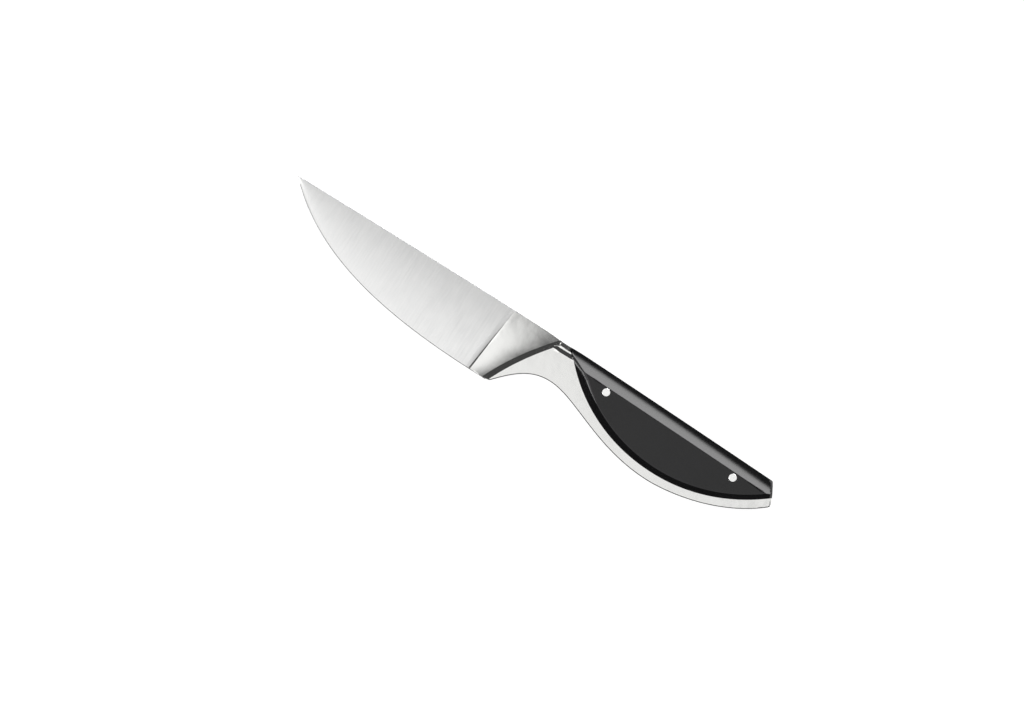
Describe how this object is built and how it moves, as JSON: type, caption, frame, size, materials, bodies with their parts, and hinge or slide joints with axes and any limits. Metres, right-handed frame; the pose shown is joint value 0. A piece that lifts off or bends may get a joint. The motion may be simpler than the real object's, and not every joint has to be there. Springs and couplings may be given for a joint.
{
  "type": "slicing knife",
  "caption": "Short slicing knife with a pointed drop blade, a full flared bolster, a full steel tang with a finger groove, and black scales held by steel pins.",
  "frame": {"origin": "Centre of the knife's outline in plan, at the level it lies on: the outer face of the right scale.", "axes": "+X from the tip to the butt, +Y from the cutting edge to the spine, +Z from the right side to the left side."},
  "size_m": [0.2504, 0.0322, 0.014],
  "materials": {
    "forging_steel": "Stainless knife steel: the blade's sides are finely satin-ground from spine to edge, the bolster, the rib and the tang's faces and edges are polished.",
    "scale_acetal": "Moulded black acetal with a soft satin sheen.",
    "pin_steel": "Bright steel pins, ground flush with the scales and polished."
  },
  "bodies": {
    "root": {"forged_blade": "forging_steel", "left_scale": "scale_acetal", "right_scale": "scale_acetal", "front_pin": "pin_steel", "rear_pin": "pin_steel"}
  },
  "joints": []
}
